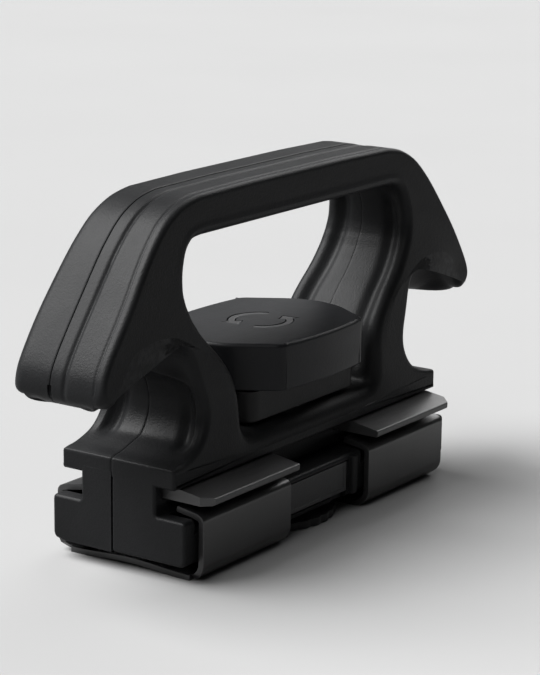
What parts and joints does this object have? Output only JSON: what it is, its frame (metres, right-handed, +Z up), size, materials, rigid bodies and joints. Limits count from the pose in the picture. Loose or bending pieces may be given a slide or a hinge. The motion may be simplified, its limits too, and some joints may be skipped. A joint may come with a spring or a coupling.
{
  "type": "quick-lock track cleat",
  "caption": "Horned handle cleat on a T-slot base, with a turn knob that raises a clamp channel to grip the lips of a deck track.",
  "frame": {"origin": "on the knob's axis, at the centre of the flat underside of the bottom cap", "axes": "+X along the cleat from horn to horn, +Y toward the rear face that holds the screws, +Z up along the knob's axis"},
  "size_m": [0.145, 0.0415, 0.0805],
  "materials": {
    "body_black": "fine satin grain",
    "clamp_black": "smooth satin black coat",
    "knob_black": "fine satin grain",
    "mark_grey": "matte",
    "steel": "zinc plated, dulled",
    "bushing_brass": "turned",
    "washer_white": "low-friction plastic"
  },
  "bodies": {
    "base": {"body_front": "body_black", "body_rear": "body_black", "body_screw_1": "steel", "body_screw_2": "steel", "body_screw_3": "steel", "body_screw_4": "steel", "jaw_strip_left": "clamp_black", "jaw_strip_right": "clamp_black", "label_blank": "mark_grey", "spindle_bushing": "bushing_brass", "thrust_washer": "washer_white", "return_spring": "steel"},
    "knob": {"knob_cap": "knob_black", "knob_arrow_1": "mark_grey", "knob_arrow_2": "mark_grey", "knob_skirt": "knob_black", "spindle": "steel", "knob_cross_pin": "steel", "cam_circlip": "steel", "rotary_cam": "steel"},
    "clamp": {"lift_yoke": "steel", "carrier_bar": "steel", "yoke_screw_left": "steel", "yoke_screw_right": "steel", "clamp_clip_left": "clamp_black", "clamp_clip_right": "clamp_black", "clip_rivet_left_1": "steel", "clip_rivet_left_2": "steel", "clip_rivet_right_1": "steel", "clip_rivet_right_2": "steel", "ribbed_bottom_cap": "knob_black"}
  },
  "joints": [
    {"name": "knob_turn", "type": "hinge", "parent": "base", "child": "knob", "pos_m": [0, 0, 0.03], "axis": [0, 0, 1], "range_deg": [0, 90]},
    {"name": "clamp_slide", "type": "slide", "parent": "base", "child": "clamp", "axis": [0, 0, 1], "range_m": [-0.002, 0], "deforming": ["return_spring"]}
  ],
  "couplings": [
    {"joint": "knob_turn", "follows": "clamp_slide", "rad_per_m": -785.39}
  ]
}
